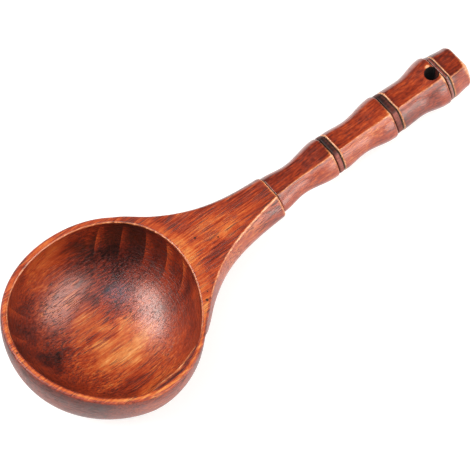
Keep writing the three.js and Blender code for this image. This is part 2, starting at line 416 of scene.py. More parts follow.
def neck_skin(x, y, z):
    """Negative inside the neck, in about millimetres: flanks swell as a sine below the ridge down
    to the widest level, and a superellipse rounds the underside. The top facet sits a little to the
    left of the middle, and the flare leans left."""
    y = y - NECK_LEAN * np.exp(-(((x - NECK_LEAN_AT) / NECK_LEAN_REACH) ** 2))
    half = neck_half_width(x)
    along = np.clip((x - NECK_FLARE_START) / (NECK_REACH - NECK_FLARE_START), 0, 1) ** FLANK_POWER
    flank = BOWL_FLANK + (NECK_FLANK - BOWL_FLANK) * along
    shift = NECK_SHIFT * along * np.sign(y)
    root = BULGE_DEPTH + (BOWL_DEPTH - BULGE_DEPTH) * (
        1 - (NECK_FLARE_START / BULGE_RADIUS) ** BOWL_FULLNESS
    ) ** (1 / BOWL_FULLNESS)
    lip = AXIS_DEPTH + NECK_HALF_HEIGHT
    depth = lip + (root - lip) * np.exp(-np.clip(x - NECK_FLARE_START, 0, None) / KEEL_FLARE_LENGTH)
    rise = np.cos(RIDGE_ANGLE) * np.clip(z + AXIS_DEPTH, 0, AXIS_DEPTH) / AXIS_DEPTH
    lean = (np.sqrt(1 - rise**2) - np.sin(RIDGE_ANGLE)) / (1 - np.sin(RIDGE_ANGLE))
    flat = RIGHT_FLATNESS * (y < 0) * (1 - rise / np.cos(RIDGE_ANGLE) - lean)
    wall = half - (flank - shift) * (1 - lean - flat)
    below = np.clip(-AXIS_DEPTH - z, 0, None) / (depth - AXIS_DEPTH)
    gauge = ((np.abs(y) / wall) ** KEEL_FULLNESS + below**KEEL_FULLNESS) ** (1 / KEEL_FULLNESS)
    return np.maximum((gauge - 1) * half, NECK_FLARE_START / 2 - x)


def head_skin(x, y, z):
    """Bowl and neck run together with a rounded crease."""
    return soft_min(bowl_skin(x, y, z), neck_skin(x, y, z), JUNCTION_ROUND)


def topped_skin(x, y, z):
    """The head cut off at the plane of the rim, its edge worn round."""
    return -soft_min(-head_skin(x, y, z), -z, RIDGE_ROUND)


def meet(start, direction, skin, furthest=100.0, halvings=40):
    """Points where rays from inside leave a skin, found by halving."""
    low = np.zeros(direction.shape[:-1])
    high = np.full(direction.shape[:-1], furthest)
    for _ in range(halvings):
        middle = (low + high) / 2
        inside = skin(*np.moveaxis(start + middle[..., None] * direction, -1, 0)) < 0
        low = np.where(inside, middle, low)
        high = np.where(inside, high, middle)
    return start + ((low + high) / 2)[..., None] * direction


def unit(vectors):
    """Vectors scaled to length 1."""
    return vectors / np.linalg.norm(vectors, axis=-1, keepdims=True)


def lip_distance(points):
    """Distance from the worn band round the neck's lip, which is wider on the right flank."""
    side = ease(0.5 + points[..., 1] / (2 * NECK_HALF_WIDTH))
    scale = LIP_BAND_RIGHT + (1 - LIP_BAND_RIGHT) * side
    return scale * (NECK_REACH - points[..., 0]) + LIP_UNWORN


def patch_tone(points):
    """Sum of the head's soft patches of tone, each fading as half a cosine round its reach. Sines
    of the place make their edges wander."""
    tone = np.zeros(points.shape[:-1])
    wandering = points + FIGURE_WANDER * np.sin(np.roll(points, 1, -1) / FIGURE_WAVE)
    for middle, reach, step in HEAD_TONE_PATCHES.values():
        distance = np.linalg.norm((wandering - np.array(middle)) / np.array(reach), axis=-1)
        tone += step * ease((FIGURE_EDGE - distance) / FIGURE_FADE)
    return tone


def bowl_share(points):
    """1 round the bowl's outside, 0 along the neck, eased between."""
    return 1 - past(points[..., 0], 30, 45)


def hull_tone_and_painted_light(points):
    """Tone of the head's outside, as a sum of steps that fade in as half a cosine. The bowl is dark
    under the rim, a painted reflection of its own shadow on the floor, darker on the right, painted
    shade against the right lamp, and paler low on the near side, a painted reflection of the lit
    floor. The neck's right flank is pale, painted light from the right lamp, up to the lip, and its
    left one is dark."""
    x, y, z = np.moveaxis(points, -1, 0)
    under = past(-z, 0.6, 1.5)
    # Painted shade under the rim and on the right, and a painted reflection of the floor low down
    bowl = UNDER_RIM_PAINTED_SHADE * under * (1 - past(-z, 6, 12))
    bowl = bowl + LOW_HULL_PAINTED_REFLECTION * past(-z, 4, 10) * past(-x, -20, 40)
    bowl = bowl + RIGHT_HULL_PAINTED_SHADE * past(-y, 25, 25) * under
    # Painted light on the neck's right flank, fading out towards the lip
    right = RIGHT_FLANK_PAINTED_LIGHT + LIP_FLANK_TONE * past(x, 105, 25)
    neck = right * past(-y, 4, 8) + LEFT_FLANK_TONE * past(y, 4, 8)
    neck = neck * past(-z, 0.3, 1)
    share = bowl_share(points)
    return bowl * share + neck * (1 - share)


def hull_lines(side):
    """Lines down the head's outside on one side, from the keel up over the ridge onto the top, with
    each point's distance from a worn edge and its tone. Each line lies in an upright plane: round
    the bowl the planes turn about its axis, and along the neck their foot moves down the spine
    while they turn square to it."""
    along = np.linspace(0, NECK_REACH - LIP_ROUND, NECK_LINES + 1)[1:]
    spine = np.concatenate([np.zeros(BOWL_LINES), along])
    round_bowl = np.linspace(np.pi, LAST_BOWL_BEARING, BOWL_LINES)
    turning = math.cos(LAST_BOWL_BEARING) * (1 - ease(along / (NECK_SQUARE_FROM * NECK_REACH)))
    bearing = np.concatenate([round_bowl, np.arccos(turning)])
    foot = np.stack([spine, 0 * spine, 0 * spine - AXIS_DEPTH], -1)
    outward = np.stack([np.cos(bearing), side * np.sin(bearing), 0 * bearing], -1)
    upward = np.array([0.0, 0.0, 1.0])
    ridge = meet(foot + AXIS_DEPTH * upward, outward, head_skin)
    width = np.linalg.norm(ridge[:, :2] - foot[:, :2], axis=-1)[:, None, None]
    dip = np.linspace(-np.pi / 2, 0, LOWER_STEPS, endpoint=False)[None, :, None]
    lower = np.cos(dip) * outward[:, None] + np.sin(dip) * upward
    climb = np.linspace(0, 1, FLANK_STEPS, endpoint=False)[None, :, None]
    climb = AXIS_DEPTH * climb**CLIMB_POWER
    flank = width * outward[:, None] + climb * upward
    inward = RIDGE_ROUND * np.linspace(0, 1, EDGE_STEPS)[None, :, None]
    edge = (width - inward) * outward[:, None] + AXIS_DEPTH * upward
    rays = unit(np.concatenate([lower, flank, edge], 1))
    points = meet(foot[:, None], rays, topped_skin)
    kept = 1.0 if side > 0 else 1 - past(spine[:, None], 4, 40)
    worn = np.linalg.norm(points - ridge[:, None], axis=-1) + RIDGE_WORN + UNWORN * kept
    return points, np.minimum(worn, lip_distance(points)), hull_tone_and_painted_light(points)


def cavity_edge(bearing):
    """Radius of the rim's inner edge: the cavity's circle, out of round like the rim."""
    return CAVITY_RADIUS + out_of_round(bearing)


def cavity_radius(depth):
    """Radius of the turned cavity at a depth: a superellipse."""
    left = np.clip(1 - (depth / CAVITY_DEPTH) ** CAVITY_FULLNESS, 0, 1)
    return CAVITY_RADIUS * left ** (1 / CAVITY_FULLNESS)


def gouge_relief(bearing, depth):
    """Depth of the gouge's strokes: between two ridges a parabola of the bearing, whose ridges fan
    out with depth. It fades as half a cosine below the rim and above the floor."""
    relief = 0
    for first, width, middle, count, _, _ in GOUGE_SETS.values():
        stroke = (middle + (bearing - middle) / (1 + GOUGE_FAN * depth) - first) / width
        across = np.mod(stroke, 1)
        within = (stroke > 0) * (stroke < count)
        relief = relief + GOUGE_RELIEF * 4 * across * (1 - across) * within
    return relief * past(depth, GOUGE_FROM, 4) * past(-depth, -GOUGE_TO, 10)


def cavity_lines(bearing):
    """Lines from the rim's inner edge down the turned cavity to its middle, with each point's
    distance from a crisp edge and its tone. Where the carved edge stands well outside the turned
    circle, a dark bevel leads down to it and ends at a second crisp edge."""
    edge = cavity_edge(bearing)[:, None]
    round_over = np.linspace(0, np.pi / 2, EDGE_STEPS)[None]
    lip_radius = edge + RIDGE_ROUND * (1 - np.sin(round_over))
    lip_depth = RIDGE_ROUND * (1 - np.cos(round_over)) + 0 * edge
    turn = np.linspace(np.pi / 2, 0, 2 * LOWER_STEPS)
    deep = CAVITY_DEPTH * np.clip(np.cos(turn), 0, 1) ** (2 / CAVITY_FULLNESS)
    bevel_rows = np.linspace(RIDGE_ROUND, CRESCENT_DEPTH, EDGE_STEPS + 1)[1:]
    below_rows = CRESCENT_DEPTH + BELOW_CRESCENT
    deep = deep[deep > below_rows[-1] + 0.5]
    wall_depth = np.concatenate([bevel_rows, below_rows, deep])[None]
    radius = cavity_radius(wall_depth)
    away = np.abs(bearing - CRESCENT_MIDDLE)[:, None] / CRESCENT_REACH
    crescent = np.maximum(edge - CAVITY_RADIUS, 0) * ease(2 * (1 - away))
    inside = edge - CAVITY_RADIUS - crescent
    up = np.clip((CRESCENT_DEPTH - wall_depth) / (CRESCENT_DEPTH - RIDGE_ROUND), 0, 1)
    fading = np.exp(-wall_depth / OUT_OF_ROUND_FADE)
    wall = radius + inside * fading * radius / CAVITY_RADIUS + crescent * up
    across = bearing[:, None]
    wall = wall + gouge_relief(across, wall_depth)
    radius = np.concatenate([lip_radius, wall], 1)
    depth = np.concatenate([lip_depth, wall_depth + 0 * edge], 1)
    points = np.stack([radius * np.cos(across), radius * np.sin(across), -depth], -1)
    present = ease(crescent / CRESCENT_FULL)
    turned_edge = np.abs(depth - CRESCENT_DEPTH) + INNER_UNWORN + 3 * (1 - present)
    bevel = present * (depth > 0.5 * RIDGE_ROUND) * (depth < CRESCENT_DEPTH - 0.2)
    rounded = RIDGE_ROUND * np.abs(round_over - np.pi / 4) + 0 * edge
    under = wall_depth - RIDGE_ROUND * (1 - np.pi / 4) + 0 * edge
    rim_edge = np.concatenate([rounded, under], 1) + INNER_UNWORN + rim_wear(across)
    tone = patch_tone(points) + CRESCENT_TONE * bevel
    return points, np.minimum(rim_edge, turned_edge), tone


def rim_wear(bearing):
    """How far the rim's inner edge is from worn: not at all on the neck's side and the left, more
    on the right."""
    turned = np.mod(bearing - RIM_WORN_FROM, 2 * np.pi)
    ahead = past(turned, RIM_WORN_SWEEP, RIM_WEAR_FADE)
    return RIM_UNWORN * ahead * past(-turned, -2 * np.pi, RIM_WEAR_FADE)


def between(a, b, shares):
    """Straight lines from points a to points b, at shares of the way."""
    shares = shares[None, :, None]
    return a[:, None] * (1 - shares) + b[:, None] * shares


def segment_distance(points, line):
    """Distance from each point to the nearest segment of a closed line."""
    start = line[None]
    run = np.roll(line, -1, 0)[None] - start
    offset = points[:, None] - start
    share = np.clip((offset * run).sum(-1) / np.maximum((run**2).sum(-1), 1e-9), 0, 1)
    return np.linalg.norm(offset - share[..., None] * run, axis=-1).min(1)


def head_grids():
    """Grids of points, with distances from the nearest worn edge and tones, that close the head:
    its hull on both sides, the neck's top, the collar round the cavity, the cavity, and the rounded
    lip with its end face."""
    left, left_edge, left_tone = hull_lines(1)
    right, right_edge, right_tone = hull_lines(-1)
    across = (1 - np.cos(np.linspace(0, np.pi, ACROSS_STEPS))) / 2
    row = BOWL_LINES + COLLAR_LINE
    neck = between(left[row:, -1], right[row:, -1], across)
    neck_width = np.linalg.norm(left[row:, -1] - right[row:, -1], axis=-1)[:, None]
    neck_edge = RIDGE_ROUND + neck_width * np.minimum(across, 1 - across)
    neck_edge = np.minimum(neck_edge, lip_distance(neck))
    collar = np.concatenate([left[: row + 1, -1], neck[0, 1:-1], right[row:0:-1, -1]])
    bearing = np.arctan2(collar[:, 1], collar[:, 0])
    cavity, cavity_distance, cavity_tone = cavity_lines(bearing)
    strip = between(collar, cavity[:, 0], COLLAR_SHARES)
    ridge = np.concatenate([left[:, -1], right[::-1, -1]])
    outer = segment_distance(strip.reshape(-1, 3), ridge).reshape(strip.shape[:2])
    radius = np.linalg.norm(strip[..., :2], axis=-1)
    inner = radius - (cavity_edge(bearing) - rim_wear(bearing))[:, None]
    strip_edge = np.minimum(RIDGE_ROUND + outer, inner - RIDGE_ROUND * (1 - np.pi / 4))
    on_rim = past(-radius, -RIM_RADIUS - 6, 4)
    rim_tone = RIM_TONE - RIM_TONE_LEAN * strip[..., 1] / RIM_RADIUS
    strip_tone = patch_tone(strip) + rim_tone * on_rim
    ring = np.concatenate([left[-1], neck[-1, 1:-1], right[-1, ::-1][:-1]])
    ring_edge = np.concatenate([left_edge[-1], neck_edge[-1, 1:-1], right_edge[-1, ::-1][:-1]])
    middle = np.array([NECK_REACH - LIP_ROUND, 0, -AXIS_DEPTH])
    turn = np.linspace(0, np.pi / 2, EDGE_STEPS)[None]
    size = np.linalg.norm(ring - middle, axis=-1)[:, None]
    inset = 1 - LIP_ROUND * (1 - np.cos(turn)) / size
    inset = np.concatenate([inset, inset[:, -1:] * LIP_FACES], 1)
    ahead = LIP_ROUND * np.concatenate([np.sin(turn), np.ones((1, len(LIP_FACES)))], 1)
    onward = ahead[..., None] * np.array([1.0, 0, 0])
    lip = middle + (ring - middle)[:, None] * inset[..., None] + onward
    lip_edge = np.minimum(ring_edge[:, None], 0.5 * np.abs(1 - ahead))
    lip_edge = lip_edge + LIP_FACE_UNWORN * (inset < 0.85)
    return [
        (left, left_edge, left_tone, bowl_share(left), False),
        (right, right_edge, right_tone, bowl_share(right), False),
        (neck, neck_edge, patch_tone(neck), 0, False),
        (strip, strip_edge, strip_tone, 0, True),
        (cavity, cavity_distance, cavity_tone, 0, True),
        (lip, lip_edge, 0, 0, True),
    ]


def cane_half_width(shape, share):
    """Half width along a grip piece: eased in from its start to a waist and out to its flared
    end."""
    start, end = shape["start"], shape["end"]
    waist = shape.get("waist")
    if waist is None:
        return start + (end - start) * ease(share)
    return np.where(
        share < WAIST_AT,
        start + (waist - start) * ease(share / WAIST_AT),
        waist + (end - waist) * ease((share - WAIST_AT) / (1 - WAIST_AT)),
    )


def cane_height(shape, share):
    """Height of a grip piece's top above the axis: a fixed share of its half width, less where its
    start is sunk below the lip of the neck."""
    sunk = shape.get("sunk", 0) * (1 - ease(share / WAIST_AT))
    return GRIP_FLATNESS * cane_half_width(shape, share) - sunk


def soften(ring, passes):
    """Closed cross-sections with their corners rounded: each point moves to the mean of itself and
    its neighbours."""
    for _ in range(passes):
        ring = (np.roll(ring, 1, 1) + 2 * ring + np.roll(ring, -1, 1)) / 4
    return ring


def cane_ring(half, height, facet):
    """Cross-sections of the grip for arrays of half widths and heights: a flat top facet that
    reaches further to the left, flanks that swell as a sine between the ridges on each side, and a
    flat underside. The right flank above the widest level is flatter, the right ridges stay crisp
    and the left ones are softened more."""
    half, height = np.asarray(half)[:, None], np.asarray(height)[:, None]
    turn = np.linspace(RIDGE_ANGLE, np.pi - RIDGE_ANGLE, 2 * FLANK_STEPS + 1)[None]
    swell = (np.sin(turn) - np.sin(RIDGE_ANGLE)) / (1 - np.sin(RIDGE_ANGLE))
    above = turn < np.pi / 2
    rise = height * np.cos(turn) / np.cos(RIDGE_ANGLE)
    left = half * (np.where(above, LEFT_FACET, UNDER_FACET) * (1 - swell) + swell)
    straight = 1 - np.cos(turn) / np.cos(RIDGE_ANGLE)
    swell = np.where(above, swell + RIGHT_FLATNESS * (straight - swell), swell)
    right = -half * (np.where(above, facet, UNDER_FACET) * (1 - swell) + swell)
    share = np.linspace(0, 1, ACROSS_STEPS)[None, 1:-1]
    under = half * UNDER_FACET * (1 - 2 * share)
    top = half * (LEFT_FACET * share - facet * (1 - share))
    y = np.concatenate([left, under, right[:, ::-1], top], 1)
    z = np.concatenate([rise, 0 * under - height, rise[:, ::-1], 0 * top + height], 1)
    ring = np.stack([y, z], -1)
    crisp = soften(ring, RIDGE_PASSES)
    soft = soften(ring, LEFT_RIDGE_PASSES)
    leftness = ease(0.5 + y / half)[..., None]
    return crisp + (soft - crisp) * leftness


def cane_grid(start, shape, near_round, far_round):
    """A closed grip piece: cross-sections along x with both end edges rounded over, then end faces
    to their middles."""
    length = shape["length"]
    body = np.linspace(0, 1, BODY_STEPS)
    turn = np.linspace(0, np.pi / 2, EDGE_STEPS)
    near, far = turn[:-1], turn[1:]
    x = np.concatenate(
        [
            near_round * (1 - np.cos(near)),
            near_round + (length - near_round - far_round) * body,
            length - far_round + far_round * np.sin(far),
        ]
    )
    share = np.concatenate([0 * near, body, 0 * far + 1])
    near_inset = near_round * (1 - np.sin(near))
    far_inset = far_round * (1 - np.cos(far))
    inset = np.concatenate([near_inset, 0 * body, far_inset])
    facet = shape.get("facet", RIGHT_FACET)
    half = cane_half_width(shape, share) - inset
    ring = cane_ring(half, cane_height(shape, share) - inset, facet)
    faces = CANE_FACES[:, None, None]
    ring = np.concatenate([ring[:1] * faces[::-1], ring, ring[-1:] * faces])
    x = np.concatenate([0 * CANE_FACES, x, 0 * CANE_FACES + length])[:, None] + 0 * ring[..., 0]
    grid = np.stack([start + x, ring[..., 0] + shape["left"], ring[..., 1] - AXIS_DEPTH], -1)
    return np.swapaxes(grid, 0, 1)


def cane_edge(points, start, shape):
    """Distance of a grip piece's points from a worn edge: its right ridge, its start, its end,
    where the band is wider on the right flank and at the ridge's corner, and chips beside the
    hanging hole. The first section's start hides below the neck's lip, and isn't worn."""
    x, y, z = np.moveaxis(points, -1, 0)
    share = np.clip((x - start) / shape["length"], 0, 1)
    half = cane_half_width(shape, share)
    top = cane_height(shape, share) - AXIS_DEPTH
    ridge_y = shape["left"] - shape.get("facet", RIGHT_FACET) * half
    side = ease(0.5 + y / half)
    corner = np.exp(-(((y - ridge_y) / CANE_CORNER) ** 2))
    to_end = start + shape["length"] - x
    ridge_wear = CANE_RIDGE_WEAR * np.exp(-((to_end / CANE_RIDGE_WEAR_REACH) ** 2))
    ridge = np.hypot(y - ridge_y, z - top) + CANE_RIDGE_UNWORN - ridge_wear
    begin = np.abs(x - start) + CANE_START_WORN + HIDDEN * ("sunk" in shape)
    inside = np.minimum(half - np.abs(y - shape["left"]), top - z) - LAST_ROUND
    on_face = np.maximum(inside, 0) * (to_end < 0.05)
    right, left = CANE_END_BAND
    end = (right + left * side) * to_end + CANE_END_UNWORN
    end = end - CANE_CORNER_WEAR * corner - shape.get("rubbed", 0) + on_face
    aside = y - HOLE_LEFT - HOLE_RADIUS - CHIP_ASIDE
    chip = np.hypot(x - HOLE_X - CHIP_AHEAD, 1.6 * aside) - CHIP_SIZE
    chip = np.maximum(chip, 0.4 * np.abs(z - top))
    worn = np.minimum(np.minimum(ridge, begin), np.minimum(end, chip))
    return worn + HIDDEN * in_bore(points, top)


def in_bore(points, top):
    """1 for points on the wall of the hanging hole, below its mouth."""
    x, y, z = np.moveaxis(points, -1, 0)
    within = np.hypot(x - HOLE_X, y - HOLE_LEFT) < HOLE_RADIUS + BORE_SKIN
    return 1.0 * within * (z < top - BORE_MOUTH)


def cane_tone(points, start, shape):
    """Tone of a grip piece: black down the hanging hole, which is painted shade, darker at its start,
    painted shade in the crease behind the piece before, paler on the right flank, painted light from
    the right lamp, and on a ring black over its top and in the line at its end, the line being
    painted shade in the gap before the next piece."""
    x, y, z = np.moveaxis(points, -1, 0)
    share = np.clip((x - start) / shape["length"], 0, 1)
    height = cane_height(shape, share)
    rise = (z + AXIS_DEPTH) / height
    # The hanging hole's wall is painted black, painted shade down the hole
    tone = shape.get("tone", 0) - BORE_PAINTED_SHADE * in_bore(points, height - AXIS_DEPTH)
    # Painted light on the right flank below the ridge
    tone = tone + shape["flank"] * (y < 0) * past(-rise, -1, 0.12)
    if "black" in shape:
        # The line at a ring's end is painted shade in the gap before the next piece
        line = past(x, start + shape["length"] - 1.1, 0.5)
        blackened = past(rise, 0.86, 0.12) * (0.25 + 0.75 * past(y, -7, 16))
        blackened = blackened * (1 - 0.6 * past(share, 0.35, 0.3))
        return tone - shape["black"] * blackened - line
    # Darker at the start: painted shade in the crease behind the piece before
    return tone - 0.1 * (1 - past(x, start + 0.6, 4))


def add_object(name, data):
    """A new object in the scene with its data."""
    thing = bpy.data.objects.new(name, data)
    bpy.context.scene.collection.objects.link(thing)
    return thing


def mark(piece, **attributes):
    """Keeps a number or a vector of each point as attributes of the piece."""
    kept = piece.data.attributes
    for name, values in attributes.items():
        kind, key = ("FLOAT", "value") if values.ndim == 1 else ("FLOAT_VECTOR", "vector")
        attribute = kept.get(name) or kept.new(name, kind, "POINT")
        attribute.data.foreach_set(key, values.ravel())


def ladle_points(piece):
    """Places of a piece's points in the ladle's own frame, in millimetres."""
    points = np.empty(3 * len(piece.data.vertices))
    piece.data.vertices.foreach_get("co", points)
    return (points.reshape(-1, 3) - ORIGIN) @ AXES.T / MM


def mark_grain(piece):
    """Keeps each point's place in the ladle's own frame, and how squarely the surface cuts across
    the grain there."""
    points = ladle_points(piece)
    normals = np.empty(points.size)
    piece.data.vertex_normals.foreach_get("vector", normals)
    mark(piece, ladle_mm=points, end_grain=np.abs(normals.reshape(-1, 3) @ AXES[0]))


def drill(piece):
    """Bores the hanging hole through a piece with an upright round cutter, then drops the
    cutter."""
    turn = np.linspace(0, 2 * np.pi, HOLE_SIDES, endpoint=False)[:, None]
    rows = np.arange(HOLE_FOOT, HOLE_HEAD)
    height = np.concatenate([[HOLE_FOOT], rows, [HOLE_HEAD, HOLE_HEAD]])
    reach = np.concatenate([[0.0], np.ones(len(height) - 2), [0.0]])[None]
    height = height[None] + 0 * turn
    x = HOLE_X + HOLE_RADIUS * np.cos(turn) * reach
    y = HOLE_LEFT + HOLE_RADIUS * np.sin(turn) * reach
    cutter = mesh_piece("hole_cutter", [(np.stack([x, y, height], -1), 0, 0, 0, True)])
    bore = piece.modifiers.new("hanging_hole", "BOOLEAN")
    bore.object = cutter
    bore.solver = "EXACT"
    bpy.context.view_layer.update()
    worked = piece.evaluated_get(bpy.context.evaluated_depsgraph_get())
    bored = bpy.data.meshes.new_from_object(worked)
    piece.modifiers.clear()
    piece.data = bored
    bpy.data.objects.remove(cutter)
    bored.set_sharp_from_angle(angle=SHARP_ANGLE)


def mesh_piece(name, grids):
    """One closed mesh from grids of points in the ladle's own frame, welded where their borders
    meet and flat where they would pass through the table. Each grid brings its points' distances
    from a worn edge, their tones and how dull their lacquer is, kept as the attributes edge_mm,
    tone and dull, and whether its lines close a ring."""
    points, faces = [], []
    marks = {"edge_mm": [], "tone": [], "dull": []}
    count = 0
    for grid, *values, closed in grids:
        rows, columns = grid.shape[:2]
        index = count + np.arange(rows * columns).reshape(rows, columns)
        if closed:
            index = np.concatenate([index, index[:1]])
        quads = np.stack([index[:-1, :-1], index[1:, :-1], index[1:, 1:], index[:-1, 1:]], -1)
        points.append(grid.reshape(-1, 3))
        faces.append(quads.reshape(-1, 4))
        for kept, value in zip(marks.values(), values):
            kept.append((value + np.zeros((rows, columns))).ravel())
        count += rows * columns
    placed = place(np.concatenate(points))
    placed[:, 2] = np.maximum(placed[:, 2], 0)
    mesh = bpy.data.meshes.new(name)
    mesh.from_pydata(placed, [], np.concatenate(faces).tolist())
    piece = add_object(name, mesh)
    mark(piece, **{key: np.concatenate(values) for key, values in marks.items()})
    loose = bmesh.new()
    loose.from_mesh(mesh)
    bmesh.ops.remove_doubles(loose, verts=loose.verts, dist=WELD)
    bmesh.ops.dissolve_degenerate(loose, dist=SLIVER, edges=loose.edges)
    bmesh.ops.recalc_face_normals(loose, faces=loose.faces)
    loose.to_mesh(mesh)
    loose.free()
    mesh.shade_smooth()
    return piece


def finish_piece(piece, node, material):
    """The piece stands for its CAD node, takes its slot and wears its material."""
    mark_grain(piece)
    piece.data.materials.clear()
    piece.data.materials.append(material)
    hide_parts(node)
    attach(piece, "root")


def linear(hex_colour):
    """An sRGB hex colour as linear red, green, blue and 1."""
    srgb = [int(hex_colour[i : i + 2], 16) / 255 for i in (1, 3, 5)]
    return [c / 12.92 if c <= 0.04045 else ((c + 0.055) / 1.055) ** 2.4 for c in srgb] + [1.0]


def empty_tree(owner):
    """The node tree of a material or world, with its first nodes taken out."""
    owner.use_nodes = True
    owner.node_tree.nodes.clear()
    return owner.node_tree


def put(tree, kind, inputs=(), out=0, **settings):
    """Adds a shader node, sets its properties and ramp stops, and fills or links its inputs, given
    in order or by name; returns one of its outputs, where it has any."""
    made = tree.nodes.new("ShaderNode" + kind)
    for count, (position, colour) in enumerate(settings.pop("stops", [])):
        stops = made.color_ramp.elements
        stop = stops[count] if count < len(stops) else stops.new(position)
        stop.position = position
        stop.color = linear(colour)
    for key, value in settings.items():
        setattr(made, key, value)
    for socket, source in inputs.items() if isinstance(inputs, dict) else enumerate(inputs):
        if isinstance(source, bpy.types.NodeSocket):
            tree.links.new(source, made.inputs[socket])
        else:
            made.inputs[socket].default_value = source
    return made.outputs[out] if made.outputs else None


def grain(tree, where, pattern):
    """Noise with the grains of a pattern of the wood, which run along the ladle."""
    along, across, deep, detail = GRAINS[pattern]
    stretched = put(tree, "Mapping", {"Vector": where, "Scale": (1 / along, 1 / across, 1 / deep)})
    inputs = {"Vector": stretched, "Scale": 1.0, "Detail": detail, "Roughness": 0.55}
    return put(tree, "TexNoise", inputs, "Fac")


def gouge_painted_shading(tree, where):
    """Painted light and shade of the gouge's strokes down the walls of the bowl: a sawtooth of the
    bearing, painted light just past each ridge and painted shade before the next, whose ridges fan
    out with depth. It fades out at its sides, at the rim and at the floor."""
    x, y, z = put(tree, "SeparateXYZ", (where,)).node.outputs
    bearing = put(tree, "Math", (y, x), operation="ARCTAN2")
    fan = put(tree, "Math", (z, -GOUGE_FAN, 1.0), operation="MULTIPLY_ADD")
    flat = put(tree, "VectorMath", (where, (1, 1, 0)), operation="MULTIPLY")
    radius = put(tree, "VectorMath", (flat,), "Value", operation="LENGTH")
    total = 0.0
    for first, width, middle, count, pale, dark in GOUGE_SETS.values():
        spread = put(tree, "Math", (bearing, -middle), operation="ADD")
        spread = put(tree, "Math", (spread, fan), operation="DIVIDE")
        inputs = (spread, 1 / width, (middle - first) / width)
        stroke = put(tree, "Math", inputs, operation="MULTIPLY_ADD")
        across = put(tree, "Math", (stroke,), operation="FRACT")
        # Painted light just past each ridge and painted shade before the next
        tone = put(tree, "MapRange", (across, 0.0, 0.4, pale, dark))
        # What a stroke fades with, and where it is gone and where it is full
        fades = [
            (stroke, -0.3, 0.0),
            (stroke, count, count - 0.8),
            (z, -3.0, -7.0),
            (z, -GOUGE_TO, -23.0),
            (radius, 62.0, 60.5),
        ]
        for source, gone, full in fades:
            fade = put(tree, "MapRange", (source, gone, full, 0.0, 1.0))
            tone = put(tree, "Math", (tone, fade), operation="MULTIPLY")
        total = put(tree, "Math", (tone, total), operation="ADD")
    return total


def dented(tree, where):
    """Shallow random dents near the middle of the bowl's floor, 1 in a dent and 0 on sound wood."""
    level = grain(tree, where, "dents")
    level = put(tree, "Math", (level, DENT_LEVEL, DENT_WIDTH), operation="COMPARE")
    torn = put(tree, "MapRange", (grain(tree, where, "torn"), *TORN_SHOWS, 0.0, 1.0))
    dents = put(tree, "Math", (level, torn), operation="MULTIPLY")
    distance = put(tree, "VectorMath", (where, DENTS_MIDDLE), "Value", operation="DISTANCE")
    near = put(tree, "MapRange", (distance, DENTS_REACH, 0.5 * DENTS_REACH, 0.0, 1.0))
    return put(tree, "Math", (dents, near), operation="MULTIPLY")


